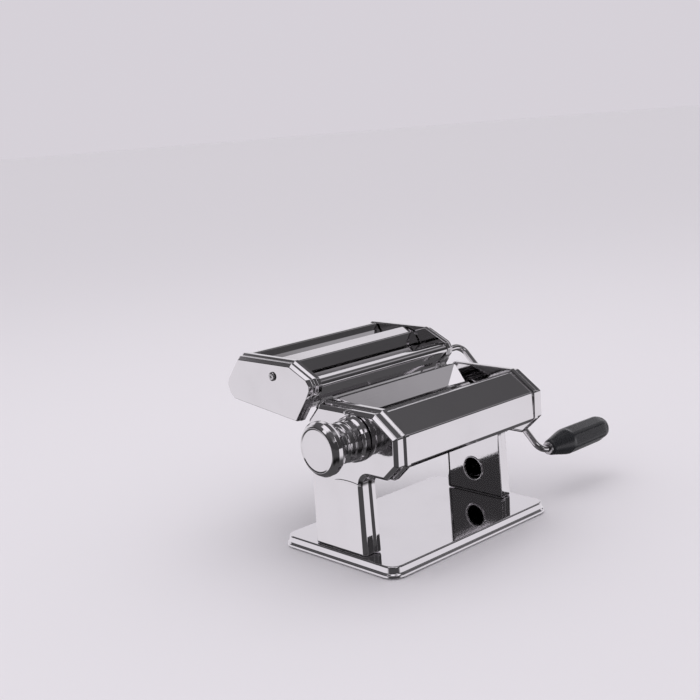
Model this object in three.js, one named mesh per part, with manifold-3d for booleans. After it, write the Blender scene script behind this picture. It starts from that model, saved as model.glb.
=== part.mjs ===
// Hand-cranked pasta roller machine: two chrome side housings on a pressed base, a pair of smooth
// rollers set apart by a dial, and a slide-on cutter unit with two pairs of cutting rollers.
// Millimetres. X runs along the rollers (+X is the crank side), -Y is the front, +Z is up.

import * as THREE from 'three';
import { mergeVertices } from 'three/addons/utils/BufferGeometryUtils.js';
import Module from 'manifold-3d';

const wasm = await Module();
wasm.setup();

// ---------- driving dimensions ----------

const gap = 0.4;                    // clearance between neighbouring pieces
const sheet = 1.0;                  // pressed sheet metal
const footStand = 1.0;              // the feet lift the base lip by this much

const rimX = 75;                    // open rim of both side housings and both cutter caps
const plateX = 76;                  // inner face of the bearing plates
const plateThickness = 1.2;
const coverEnd = 74.6;              // half length of the covers between the rims

const basePlateau = 8.7;            // top of the base
const baseHalfX = 93;
const baseHalfY = 62.9;
const baseLip = 3.2;                // how far the lip stands out from the plateau

const legHalf = 31.6;               // half width of a leg where it meets the base
const headBack = 30.6;
const headTop = 127.5;
const faceFoot = 90.2;              // outer face of a housing at the bottom bevel
const faceLean = 0.018;            // the outer face leans inwards going up
const clampHole = { y: 1.5, z: 31, r: 10.5 };

const rollerRadius = 13;
const rollerHalf = 73.5;
const rollerShaft = 5;
const adjustAxis = { y: -26, z: 104.5 };
const fixedAxis = { y: 3, z: 99.6 };
const rollerTravel = 2.4;           // the front roller closes up by this much

const cutterRadius = 9.2;
const cutterShaft = 4;
const narrowAxis = { y: 46.6, z: 130.4 };
const wideAxis = { y: 87.6, z: 130.4 };
const cutterPitch = 18.9;           // distance between the two axes of a cutting pair
const cutterTop = 156;
const capFace = 86;

const gearStart = 78.8;
const gearEnd = 82.2;

const bossEnd = 96;               // outer end of the fixed ring under the dial
const knobEnd = 128.4;
const knobRadius = 21.4;

const armX = 120;                   // plane in which the crank arm swings
const armLength = 124;
const armAngle = 225 * Math.PI / 180;   // direction of the arm, from +Y towards +Z
const rodRadius = 3.1;
const gripStart = 131;
const gripEnd = 214;

const railSlope = Math.atan2(111.7 - headTop, headBack - 16);   // back chamfer of the head

// ---------- materials ----------

const metal = (color, roughness) => new THREE.MeshStandardMaterial({ color, roughness, metalness: 1 });
const chrome = metal(0xdcd8dc, 0.08);
const steel = metal(0xb9b7ba, 0.3);
const brushed = metal(0xc8c6c8, 0.35);
const brass = metal(0xb89a5a, 0.35);
const black = new THREE.MeshStandardMaterial({ color: 0x26272a, roughness: 0.5, metalness: 0 });
const rubber = new THREE.MeshStandardMaterial({ color: 0x2c2c2c, roughness: 0.9, metalness: 0 });

// ---------- closed meshes ----------

// Keeps positions only, drops collapsed triangles and turns the faces outwards.
function closed(geometry) {
  const bare = new THREE.BufferGeometry();
  bare.setAttribute('position', geometry.getAttribute('position').clone());
  if (geometry.index) bare.setIndex(geometry.index.clone());
  const merged = mergeVertices(bare, 1e-3);
  const p = merged.getAttribute('position');
  const index = [...merged.index.array];
  const kept = [];
  let volume = 0;
  const a = new THREE.Vector3();
  const b = new THREE.Vector3();
  const c = new THREE.Vector3();
  for (let i = 0; i < index.length; i += 3) {
    const [u, v, w] = index.slice(i, i + 3);
    if (u === v || v === w || w === u) continue;
    kept.push(u, v, w);
    volume += a.fromBufferAttribute(p, u).dot(b.fromBufferAttribute(p, v).cross(c.fromBufferAttribute(p, w)));
  }
  merged.setIndex(volume < 0 ? kept.reverse() : kept);
  return merged;
}

function toSolid(geometry) {
  const g = closed(geometry);
  return new wasm.Manifold(new wasm.Mesh({
    numProp: 3,
    vertProperties: new Float32Array(g.getAttribute('position').array),
    triVerts: new Uint32Array(g.index.array),
  }));
}

function fromSolid(solid) {
  const mesh = solid.getMesh();
  const geometry = new THREE.BufferGeometry();
  geometry.setAttribute('position', new THREE.BufferAttribute(new Float32Array(mesh.vertProperties), 3));
  geometry.setIndex([...mesh.triVerts]);
  return geometry;
}

function cut(geometry, ...tools) {
  return fromSolid(tools.reduce((solid, tool) => solid.subtract(toSolid(tool)), toSolid(geometry)));
}

function join(geometry, ...others) {
  return fromSolid(others.reduce((solid, other) => solid.add(toSolid(other)), toSolid(geometry)));
}

// A closed skin over loops of equal length, with a flat cap on the first and the last loop.
// Caps are triangulated in the plane given by the two coordinate names.
function loft(loops, u = 'y', v = 'z') {
  const n = loops[0].length;
  const positions = loops.flat().flatMap((p) => [p.x, p.y, p.z]);
  const index = [];
  for (let k = 0; k + 1 < loops.length; k += 1) {
    for (let i = 0; i < n; i += 1) {
      const j = (i + 1) % n;
      index.push(k * n + i, k * n + j, (k + 1) * n + j, k * n + i, (k + 1) * n + j, (k + 1) * n + i);
    }
  }
  const capOf = (loop) => {
    const flat = loop.map((p) => new THREE.Vector2(p[u], p[v]));
    const faces = THREE.ShapeUtils.triangulateShape(flat, []);
    return THREE.ShapeUtils.isClockWise(flat) ? faces.map(([i, j, k]) => [i, k, j]) : faces;
  };
  const last = (loops.length - 1) * n;
  for (const [i, j, k] of capOf(loops[0])) index.push(i, k, j);
  for (const [i, j, k] of capOf(loops[loops.length - 1])) index.push(last + i, last + j, last + k);
  const geometry = new THREE.BufferGeometry();
  geometry.setAttribute('position', new THREE.Float32BufferAttribute(positions, 3));
  geometry.setIndex(index);
  return geometry;
}

// ---------- outlines in the (y, z) plane ----------

const turnAt = (a, b, c) => (b[0] - a[0]) * (c[1] - b[1]) - (b[1] - a[1]) * (c[0] - b[0]);

// Moves every side of an anticlockwise polygon inwards by the same distance.
function inset(points, distance) {
  const n = points.length;
  return points.map((p, i) => {
    const before = points[(i + n - 1) % n];
    const after = points[(i + 1) % n];
    const d1 = new THREE.Vector2(p[0] - before[0], p[1] - before[1]).normalize();
    const d2 = new THREE.Vector2(after[0] - p[0], after[1] - p[1]).normalize();
    const n1 = new THREE.Vector2(-d1.y, d1.x);
    const n2 = new THREE.Vector2(-d2.y, d2.x);
    const mitre = n1.clone().add(n2).multiplyScalar(distance / (1 + n1.dot(n2)));
    return [p[0] + mitre.x, p[1] + mitre.y];
  });
}

// Rounds each corner with an arc of the given radius, drawn with the same number of steps.
function fillet(points, radii, steps) {
  const n = points.length;
  const out = [];
  points.forEach((p, i) => {
    const before = points[(i + n - 1) % n];
    const after = points[(i + 1) % n];
    const toBefore = new THREE.Vector2(before[0] - p[0], before[1] - p[1]).normalize();
    const toAfter = new THREE.Vector2(after[0] - p[0], after[1] - p[1]).normalize();
    const half = Math.acos(THREE.MathUtils.clamp(toBefore.dot(toAfter), -1, 1)) / 2;
    const reach = radii[i] / Math.tan(half);
    const centre = toBefore.clone().add(toAfter).normalize().multiplyScalar(radii[i] / Math.sin(half));
    const sweep = Math.PI - 2 * half;
    const from = Math.atan2(toBefore.y * reach - centre.y, toBefore.x * reach - centre.x);
    const way = Math.sign(turnAt(before, p, after));
    for (let s = 0; s <= steps; s += 1) {
      const angle = from + way * sweep * s / steps;
      out.push([p[0] + centre.x + radii[i] * Math.cos(angle), p[1] + centre.y + radii[i] * Math.sin(angle)]);
    }
  });
  return out;
}

// The filleted outline, inset by a distance: outer corners tighten and inner corners open up.
function ring(points, radii, distance, steps) {
  const n = points.length;
  const tuned = radii.map((r, i) => {
    const convex = turnAt(points[(i + n - 1) % n], points[i], points[(i + 1) % n]) > 0;
    return convex ? Math.max(0.7, r - distance) : r + distance;
  });
  return fillet(inset(points, distance), tuned, steps);
}

// The closed outline of a bent strip of sheet whose outer face follows the given open line.
function strip(line, thickness) {
  const inner = line.map((p, i) => {
    const before = line[Math.max(i - 1, 0)];
    const after = line[Math.min(i + 1, line.length - 1)];
    const d1 = new THREE.Vector2(p[0] - before[0], p[1] - before[1]);
    const d2 = new THREE.Vector2(after[0] - p[0], after[1] - p[1]);
    if (d1.length() === 0) d1.copy(d2);
    if (d2.length() === 0) d2.copy(d1);
    d1.normalize();
    d2.normalize();
    const n1 = new THREE.Vector2(-d1.y, d1.x);
    const n2 = new THREE.Vector2(-d2.y, d2.x);
    const mitre = n1.clone().add(n2).multiplyScalar(thickness / (1 + n1.dot(n2)));
    return [p[0] + mitre.x, p[1] + mitre.y];
  });
  return [...line, ...inner.reverse()];
}

// ---------- forms along X ----------

// Extrudes a (y, z) outline from x0 to x1.
function prism(outline, x0, x1, holes = []) {
  const shape = new THREE.Shape(outline.map((p) => new THREE.Vector2(p[0], p[1])));
  shape.holes = holes.map((hole) => new THREE.Path(hole.map((p) => new THREE.Vector2(p[0], p[1]))));
  const geometry = new THREE.ExtrudeGeometry(shape, { depth: x1 - x0, bevelEnabled: false, steps: 1 });
  const toX = new THREE.Matrix4().set(0, 0, 1, x0, 1, 0, 0, 0, 0, 1, 0, 0, 0, 0, 0, 1);
  return geometry.applyMatrix4(toX);
}

// Turns a profile of [x, radius] points about the X axis.
function turned(profile, segments = 24) {
  const geometry = new THREE.LatheGeometry(profile.map(([x, r]) => new THREE.Vector2(r, x)), segments);
  return geometry.rotateZ(-Math.PI / 2);
}

const disc = (x0, x1, r, segments) => turned([[x0, 0], [x0, r], [x1, r], [x1, 0]], segments);
const sleeve = (x0, x1, inner, outer, segments) => (
  turned([[x0, inner], [x0, outer], [x1, outer], [x1, inner], [x0, inner]], segments));
const at = (geometry, axis) => geometry.translate(0, axis.y, axis.z);

const circle = (y, z, r, segments = 20) => Array.from({ length: segments }, (_, i) => {
  const angle = -2 * Math.PI * i / segments;
  return [y + r * Math.cos(angle), z + r * Math.sin(angle)];
});

// A round hole stretched along Y.
function slot(y0, y1, z, r, segments = 10) {
  const half = (y, start) => Array.from({ length: segments + 1 }, (_, i) => {
    const angle = start - Math.PI * i / segments;
    return [y + r * Math.cos(angle), z + r * Math.sin(angle)];
  });
  return [...half(y1, Math.PI / 2), ...half(y0, -Math.PI / 2)];
}

// A toothed wheel with straight-sided teeth; phase 0 puts a tooth on +Y, 0.5 puts a gap there.
function gear(teeth, root, tip, bore, x0, x1, phase) {
  const step = 2 * Math.PI / teeth;
  const outline = [];
  for (let k = 0; k < teeth; k += 1) {
    for (const [offset, r] of [[-0.27, root], [-0.11, tip], [0.11, tip], [0.27, root]]) {
      const angle = (k + phase + offset) * step;
      outline.push([r * Math.cos(angle), r * Math.sin(angle)]);
    }
  }
  return prism(outline, x0, x1, [circle(0, 0, bore, 16)]);
}

// ---------- the model ----------

const machine = new THREE.Group();
const stand = new THREE.Group();
stand.position.z = footStand;
machine.add(stand);

function add(name, geometry, material, parent = stand) {
  const mesh = new THREE.Mesh(closed(geometry), material);
  mesh.name = name;
  parent.add(mesh);
}

const sides = [['left', -1], ['right', 1]];
const mirrored = (geometry, side) => geometry.scale(side, 1, 1);

// ----- base: a pressed pan on four rubber feet -----

function roundedRectangle(halfX, halfY, radius, z) {
  const corners = [[-halfX, -halfY], [halfX, -halfY], [halfX, halfY], [-halfX, halfY]];
  return fillet(corners, [radius, radius, radius, radius], 5).map(([x, y]) => new THREE.Vector3(x, y, z));
}

function basePan() {
  const level = (spread, z) => roundedRectangle(baseHalfX + spread, baseHalfY + spread, 9 + spread, z);
  return loft([
    level(-1.9, basePlateau - sheet),
    level(-0.9, basePlateau - sheet - 0.9),
    level(0.5, 2.4),
    level(baseLip - 1.2, 1.3),
    level(baseLip - 1.2, 0),
    level(baseLip, 0),
    level(baseLip, 2),
    level(1.6, 3.1),
    level(1.1, basePlateau - 0.9),
    level(0.2, basePlateau),
  ], 'x', 'y');
}

add('base_plate', basePan(), chrome);

const footSpots = [[-80, -50], [80, -50], [80, 50], [-80, 50]];
footSpots.forEach(([x, y], i) => {
  const foot = new THREE.CylinderGeometry(6, 7, basePlateau + footStand - sheet - gap, 16);
  foot.rotateX(Math.PI / 2);
  foot.translate(x, y, (basePlateau + footStand - sheet - gap) / 2);
  add(`foot_${i + 1}`, foot, rubber, machine);
});

// ----- side housings: deep pressed shells, open towards the rollers -----

const housingCorners = [
  [-legHalf, basePlateau + gap], [legHalf, basePlateau + gap], [headBack, 111.7], [16, headTop],
  [-48, headTop], [-72, 110.5], [-71.5, 86.6], [-57, 73.2], [-30.3, 73.2],
];
const housingRadii = [2, 2, 3, 3, 4, 3, 3, 3, 8];
const faceX = (z) => faceFoot - faceLean * (z - 13.5);
// The face is set in from the rim all round, except at the foot, where it runs down to the base.
const housingFace = inset(housingCorners, 4.8).map(([y, z], i) => [y, i < 2 ? housingCorners[i][1] : z]);

// A pressed shell between its rim outline and its face outline: first the inside from the floor
// out to the rim, then the outside from the rim back to the face. A broad band stands out round the
// mouth; behind it the wall steps in, and a bevel takes it in again to the face.
const rimBand = 3.8;
const neckDepth = 1.9;
const bevelReach = 4.8;
function pressedShell(rim, face, radii, steps, faceAt) {
  const wall = 1.2;
  const neck = neckDepth / bevelReach;
  const bevelDepth = bevelReach - neckDepth;
  const blend = (share) => rim.map(([y, z], i) => [y + (face[i][0] - y) * share, z + (face[i][1] - z) * share]);
  const loop = (share, distance, x) => ring(blend(share), radii, distance, steps)
    .map(([y, z]) => new THREE.Vector3(typeof x === 'function' ? x(z) : x, y, z));
  return loft([
    loop(1, wall, (z) => faceAt(z) - wall),
    loop(neck, wall, (z) => faceAt(z) - bevelDepth - wall / 2),
    loop(neck, wall, rimX + rimBand + neckDepth - wall / 2),
    loop(0, 1.3, rimX + rimBand - wall / 2),
    loop(0, 1.3, rimX),
    loop(0, 0, rimX),
    loop(0, 0, rimX + rimBand),
    loop(neck, 0, rimX + rimBand + neckDepth),
    loop(neck, 0, (z) => faceAt(z) - bevelDepth),
    loop(1, 0, faceAt),
  ]);
}

for (const [side, sign] of sides) {
  let shell = pressedShell(housingCorners, housingFace, housingRadii, 3, faceX);
  const holeAxis = sign < 0 ? adjustAxis : fixedAxis;
  shell = cut(shell, at(disc(80, 95, 6.2, 24), holeAxis));
  add(`side_shell_${side}`, mirrored(shell, sign), chrome);

  const outline = ring(housingCorners, housingRadii, 1.7, 3);
  const plate = prism(outline, plateX, plateX + plateThickness, [
    circle(clampHole.y, clampHole.z, clampHole.r, 28),
    slot(adjustAxis.y, adjustAxis.y + rollerTravel, adjustAxis.z, 7.9),
    circle(fixedAxis.y, fixedAxis.z, rollerShaft + 0.5, 20),
    circle(-52, 96, 3.4, 12),
    circle(24, 84, 3.4, 12),
  ]);
  add(`bearing_plate_${side}`, mirrored(plate, sign), chrome);
}

// ----- covers and guides between the housings -----

const frontCover = [[-47.6, 123.8], [-49.4, 125], [-70.4, 110], [-70.6, 87.6], [-66.4, 83.6]];
add('front_cover', prism(strip(frontCover, sheet), -coverEnd, coverEnd), chrome);

const rearCover = [[29.2, 82], [29.4, 111], [23.6, 117.3]];
add('rear_cover', prism(strip(rearCover, sheet), -coverEnd, coverEnd), chrome);

// A flat plate with the given corners and a thickness below it.
function plateOf(corners, thickness) {
  const [a, b, c] = corners;
  const normal = b.clone().sub(a).cross(c.clone().sub(a)).normalize();
  const down = normal.multiplyScalar(normal.z > 0 ? -thickness : thickness);
  return loft([corners.map((p) => p.clone().add(down)), corners], 'x', 'y');
}

// The dough ramp slopes down to the rollers; at each end a corner is folded forward as a guide ear.
function feedPlate() {
  const top = { y: 10.6, z: 128 };
  const foot = { y: -1.6, z: 113.4 };
  const at3 = (x, y, z) => new THREE.Vector3(x, y, z);
  const ramp = plateOf([
    at3(-70, top.y, top.z), at3(-47, foot.y, foot.z), at3(47, foot.y, foot.z), at3(70, top.y, top.z),
  ], sheet);
  const lip = plateOf([
    at3(-70, top.y - 0.5, top.z), at3(70, top.y - 0.5, top.z),
    at3(70, top.y + 2.6, top.z - 0.6), at3(-70, top.y + 2.6, top.z - 0.6),
  ], sheet);
  const ear = (sign) => plateOf([
    at3(sign * 70, top.y + 0.2, top.z), at3(sign * 46.4, foot.y + 0.2, foot.z), at3(sign * 60.5, -9.1, 115.5),
  ], sheet);
  return join(ramp, lip, ear(-1), ear(1));
}
add('feed_plate', feedPlate(), chrome);

const scraperShape = [[0, 0], [10, -3.2], [10, -1.8], [1.2, 1.4]];
const frontScraper = scraperShape.map(([y, z]) => [adjustAxis.y - 4 - y, adjustAxis.z - 15.2 + z]).reverse();
const rearScraper = scraperShape.map(([y, z]) => [fixedAxis.y + 4 + y, fixedAxis.z - 15.2 + z]);
add('front_scraper', prism(frontScraper, -coverEnd, coverEnd), steel);
add('rear_scraper', prism(rearScraper, -coverEnd, coverEnd), steel);

for (const [name, y, z] of [['front', -52, 96], ['rear', 24, 84]]) {
  add(`tie_rod_${name}`, at(disc(-78.4, 78.4, 3, 14), { y, z }), steel);
}

// ----- smooth rollers and their gears -----

function roller(radius, half, shaft, leftEnd, rightEnd, segments) {
  return turned([
    [leftEnd, 0], [leftEnd, shaft], [-half, shaft], [-half, radius - 0.8], [-half + 0.8, radius],
    [half - 0.8, radius], [half, radius - 0.8], [half, shaft], [rightEnd, shaft], [rightEnd, 0],
  ], segments);
}

const rollerLeft = -79;
const rollerRight = gearStart - gap;
add('fixed_roller', at(roller(rollerRadius, rollerHalf, rollerShaft, rollerLeft, rollerRight, 28), fixedAxis), steel);
add('adjustable_roller',
  at(roller(rollerRadius, rollerHalf, rollerShaft, rollerLeft, rollerRight, 28), adjustAxis), steel);

// The fixed roller lies lower, so a tooth of its gear and a gap of the other are turned onto the line
// that joins the two axes.
const rollerTeeth = 16;
const lineAngle = Math.atan2(adjustAxis.z - fixedAxis.z, fixedAxis.y - adjustAxis.y);
const linePhase = -lineAngle / (2 * Math.PI / rollerTeeth);
add('fixed_gear', at(gear(rollerTeeth, 11.8, 14.8, 2.2, gearStart, gearEnd, linePhase), fixedAxis), steel);
add('adjustable_gear',
  at(gear(rollerTeeth, 11.8, 14.8, 2.2, gearStart, gearEnd, linePhase + 0.5), adjustAxis), steel);

for (const [side, sign] of sides) {
  const bush = sleeve(rollerHalf + gap, rollerRight - 0.2, rollerShaft + 0.35, 7.5, 20);
  add(`roller_bush_${side}`, mirrored(at(bush, adjustAxis), sign), brass);
}

const socket = sleeve(faceX(fixedAxis.z - 9) + gap, faceX(fixedAxis.z - 9) + 2.4, 5.2, 9, 20);
add('drive_socket_ring', at(socket, fixedAxis), chrome);

// ----- thickness dial -----

const bossStart = faceX(adjustAxis.z - 18) + gap;
add('dial_ring', at(turned([
  [-bossStart, 6], [-bossStart, 18.6], [-bossStart - 2, 18.6], [-bossStart - 2, 17.2],
  [-bossStart - 3.6, 17.2], [-bossStart - 3.6, 18.2], [-bossEnd, 18.2], [-bossEnd, 6], [-bossStart, 6],
], 32), adjustAxis), chrome);

add('dial_spindle', at(turned([
  [-knobEnd + 11.4, 0], [-knobEnd + 11.4, 5], [-80.2, 5], [-80.2, 0],
], 16), adjustAxis), steel);

add('dial_spring', at(sleeve(-bossEnd - 13.4, -bossEnd - 1, 6, 8.2, 16), adjustAxis), steel);

// The knob is a mushroom: a dished front disc on a grooved neck, hollow for the spindle and spring.
const knobProfile = [
  [17.6, 0], [17.6, 5.4], [10, 5.4], [10, 8.8], [-gap, 8.8], [-gap, 17.6],
  [-3.8, 17.6], [-4.6, 15.6], [-6.9, 15.6], [-7.7, 17.4], [-11.7, 17.4], [-12.5, 14.6],
  [-15.9, 14.6], [-17.5, 18.4], [-19.9, 20.4], [-22.4, knobRadius], [-25.6, knobRadius],
  [-29.4, 18.6], [-31.2, 17.4], [bossEnd - knobEnd, 15.8], [bossEnd - knobEnd, 0],
];
add('dial_knob', at(turned(knobProfile.map(([x, r]) => [x > 0 ? -bossEnd - x - 4 : x - bossEnd, r]), 36),
  adjustAxis), chrome);

const indexPin = new THREE.CylinderGeometry(1.6, 1.6, 5, 12);
indexPin.rotateZ(Math.PI / 2);
indexPin.translate(-faceX(120) - 2.9, adjustAxis.y + 4, adjustAxis.z + 20.6);
add('index_pin', indexPin, steel);

// ----- cutter unit: end caps, bearing plates and covers -----

const capCorners = [
  [47.4, 105.2], [128, 113.8], [135.4, 119.4], [138, 127.6], [135.8, 135], [117.6, cutterTop],
  [50, cutterTop], [25, 143.8], [21.9, 138.6], [23.6, 132], [31.8, 126.2],
];
const capFaceCorners = [
  [45.8, 107.4], [126, 116.6], [131, 120.6], [133.4, 127.8], [131.2, 133.6], [116.2, 151.4],
  [49.2, 151.8], [30, 143], [26.6, 138.4], [27, 134], [31, 127.4],
];
const capRadii = [2, 4, 3, 3, 3, 4, 5, 3, 2, 2, 3];
const tieAxis = { y: 71, z: 141.8 };
const cutterAxes = {
  narrow_front: narrowAxis,
  narrow_back: { y: narrowAxis.y + cutterPitch, z: narrowAxis.z },
  wide_front: wideAxis,
  wide_back: { y: wideAxis.y + cutterPitch, z: wideAxis.z },
};

for (const [side, sign] of sides) {
  let cap = pressedShell(capCorners, capFaceCorners, capRadii, 2, () => capFace);
  const openings = [at(disc(80, 90, 2.4, 14), tieAxis)];
  if (sign > 0) {
    openings.push(at(disc(80, 90, 5, 20), narrowAxis), at(disc(80, 90, 5, 20), wideAxis));
  }
  cap = cut(cap, ...openings);
  add(`cutter_cap_${side}`, mirrored(cap, sign), chrome);

  const holes = Object.values(cutterAxes).map(({ y, z }) => circle(y, z, cutterShaft + 0.5, 16));
  holes.push(circle(tieAxis.y, tieAxis.z, 3.4, 12));
  const plate = prism(ring(capCorners, capRadii, 1.7, 2), plateX, plateX + plateThickness, holes);
  add(`cutter_plate_${side}`, mirrored(plate, sign), chrome);

  const screw = turned([
    [78.4, 0], [78.4, 1.8], [capFace + gap, 1.8], [capFace + gap, 3.8], [capFace + 1.4, 3.4],
    [capFace + 1.9, 2.2], [capFace + 1.9, 0],
  ], 16);
  add(`cutter_screw_${side}`, mirrored(at(screw, tieAxis), sign), chrome);
}

const nose = Array.from({ length: 7 }, (_, i) => {
  const angle = (95 + 17 * i) * Math.PI / 180;
  return [28 + 5.2 * Math.cos(angle), 137.2 + 5.2 * Math.sin(angle)];
});
const cutterFront = [[49.6, 141.2], ...nose, [33.4, 126.6], [36.8, 121.8]];
add('cutter_front_cover', prism(strip(cutterFront, 0.8), -coverEnd, coverEnd), chrome);

const cutterRidge = [[90.2, 142], [82, 151.4], [75, 154.6], [62.8, 151.2], [57.2, 141.6]];
add('cutter_ridge_cover', prism(strip(cutterRidge, 0.8), -coverEnd, coverEnd), chrome);

const cutterRear = [
  [112, 113.4], [127.2, 115], [134, 120.2], [136.6, 127.8], [134.6, 134.4], [117, 154.9],
  [110.6, 155.4], [107.8, 149.6], [101.4, 142],
];
add('cutter_rear_cover', prism(strip(cutterRear, 0.8), -coverEnd, coverEnd), chrome);

add('cutter_tie_rod', at(disc(-78, 78, 2.8, 14), tieAxis), steel);

for (const [name, axis] of [['narrow', narrowAxis], ['wide', wideAxis]]) {
  const y = axis.y + cutterPitch / 2;
  const z = axis.z - cutterRadius;
  const comb = [[y - 7.6, z - 3.4], [y - 5.4, z - 3.4], [y - 5.4, z - 5.4], [y + 5.4, z - 5.4],
    [y + 5.4, z - 3.4], [y + 7.6, z - 3.4], [y + 7.6, z - 7.4], [y - 7.6, z - 7.4]].reverse();
  const slit = prism([[y - 3, z - 9], [y + 3, z - 9], [y + 3, z - 4], [y - 3, z - 4]], -70, 70);
  add(`${name}_comb`, cut(prism(comb, -coverEnd, coverEnd), slit), steel);
}

for (const [name, axis] of Object.entries(cutterAxes)) {
  add(`${name}_cutter`, at(roller(cutterRadius, 73, cutterShaft, -79, gearStart - gap, 24), axis), brushed);
  const phase = name.endsWith('front') ? 0 : 0.5;
  add(`${name}_gear`, at(gear(12, 8.1, 10.5, 2, gearStart, gearEnd, phase), axis), steel);
}

for (const [name, axis] of [['narrow', narrowAxis], ['wide', wideAxis]]) {
  add(`${name}_socket_ring`, at(sleeve(capFace + gap, capFace + 2.2, 4.6, 8, 20), axis), chrome);
}

// ----- slide rails on the head and hooks on the cutter unit -----

// Extrudes an (x, n) outline along the back chamfer, n being the height above its face.
function alongChamfer(outline, start, length) {
  const shape = new THREE.Shape(outline.map((p) => new THREE.Vector2(p[0], p[1])));
  const geometry = new THREE.ExtrudeGeometry(shape, { depth: length, bevelEnabled: false, steps: 1 });
  const along = new THREE.Vector3(0, -Math.cos(railSlope), -Math.sin(railSlope));
  const out = new THREE.Vector3(0, -Math.sin(railSlope), Math.cos(railSlope));
  const place = new THREE.Matrix4().makeBasis(new THREE.Vector3(1, 0, 0), out, along);
  place.setPosition(0, headBack + along.y * start, 111.7 + along.z * start);
  return geometry.applyMatrix4(place);
}

const railShape = [[67.4, 0.2], [69.4, 0.2], [69.4, 2.2], [72, 2.2], [72, 3.6], [64.8, 3.6], [64.8, 2.2], [67.4, 2.2]];
const hookShape = [[63, 1.2], [66.6, 1.2], [66.6, 1.8], [64.2, 1.8], [64.2, 4.2], [72.6, 4.2], [72.6, 1.8],
  [70.2, 1.8], [70.2, 1.2], [73.8, 1.2], [73.8, 6.4], [63, 6.4]];
for (const [side, sign] of sides) {
  add(`slide_rail_${side}`, mirrored(alongChamfer(railShape, 1, 15), sign), steel);
  add(`cutter_hook_${side}`, mirrored(alongChamfer(hookShape, 2, 12), sign), steel);
}

// ----- crank -----

const armEnd = {
  y: narrowAxis.y + armLength * Math.cos(armAngle),
  z: narrowAxis.z + armLength * Math.sin(armAngle),
};

// Points of the rod's centre line with a quarter bend at each end of the arm.
function crankLine() {
  const bend = 9;
  const steps = 6;
  const spot = (x, reach) => new THREE.Vector3(
    x, narrowAxis.y + reach * Math.cos(armAngle), narrowAxis.z + reach * Math.sin(armAngle));
  const line = [spot(capFace - 2.4, 0)];
  for (let i = 0; i <= steps; i += 1) {
    const t = i / steps * Math.PI / 2;
    line.push(spot(armX - bend + bend * Math.sin(t), bend - bend * Math.cos(t)));
  }
  for (let i = 0; i <= steps; i += 1) {
    const t = i / steps * Math.PI / 2;
    line.push(spot(armX + bend - bend * Math.cos(t), armLength - bend + bend * Math.sin(t)));
  }
  line.push(spot(gripEnd - 9, armLength));
  return line;
}

// A round rod along a line that lies in one plane, whose unit normal is given.
function rodAlong(line, normal, radius, segments) {
  const loops = line.map((p, i) => {
    const before = line[Math.max(i - 1, 0)];
    const after = line[Math.min(i + 1, line.length - 1)];
    const tangent = after.clone().sub(p).normalize().add(p.clone().sub(before).normalize()).normalize();
    const across = new THREE.Vector3().crossVectors(tangent, normal);
    return Array.from({ length: segments }, (_, k) => {
      const angle = 2 * Math.PI * k / segments;
      return p.clone().addScaledVector(across, radius * Math.cos(angle))
        .addScaledVector(normal, radius * Math.sin(angle));
    });
  });
  return loft(loops);
}

const crankNormal = new THREE.Vector3(0, -Math.sin(armAngle), Math.cos(armAngle));
add('crank_rod', rodAlong(crankLine(), crankNormal, rodRadius, 12), chrome);
add('grip_washer', at(sleeve(gripStart - 2, gripStart - gap, rodRadius + gap, 5.6, 16), armEnd), steel);

const gripLength = gripEnd - gripStart;
const gripAt = (share) => gripStart + gripLength * share;
add('crank_grip', at(turned([
  [gripStart, rodRadius + gap], [gripStart, 5.6], [gripStart + 1.6, 7], [gripAt(0.1), 7.8],
  [gripAt(0.24), 10.6], [gripAt(0.34), 11.8], [gripAt(0.42), 12], [gripAt(0.88), 11.6],
  [gripAt(0.95), 10.4], [gripAt(0.985), 7.6], [gripEnd, 3.6], [gripEnd, 0],
  [gripEnd - 8, 0], [gripEnd - 8, rodRadius + gap], [gripStart, rodRadius + gap],
], 24), armEnd), black);

// ---------- frame: origin at the middle of the footprint, on the surface it stands on ----------

machine.position.set(-(gripEnd - knobEnd) / 2, -(138 - 72) / 2, 0);
machine.updateMatrixWorld(true);

export default machine;
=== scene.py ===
"""Visible model of a hand-cranked pasta roller machine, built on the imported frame.

Sizes are in millimetres in the machine's own frame: x along the rollers with the crank on +x, the front
cover on -y, z up from the base's lip. place() turns them into metres in the shared frame.
"""
import math

import bpy
import numpy as np
from mathutils import Matrix, Vector
from mathutils.geometry import tessellate_polygon


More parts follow.
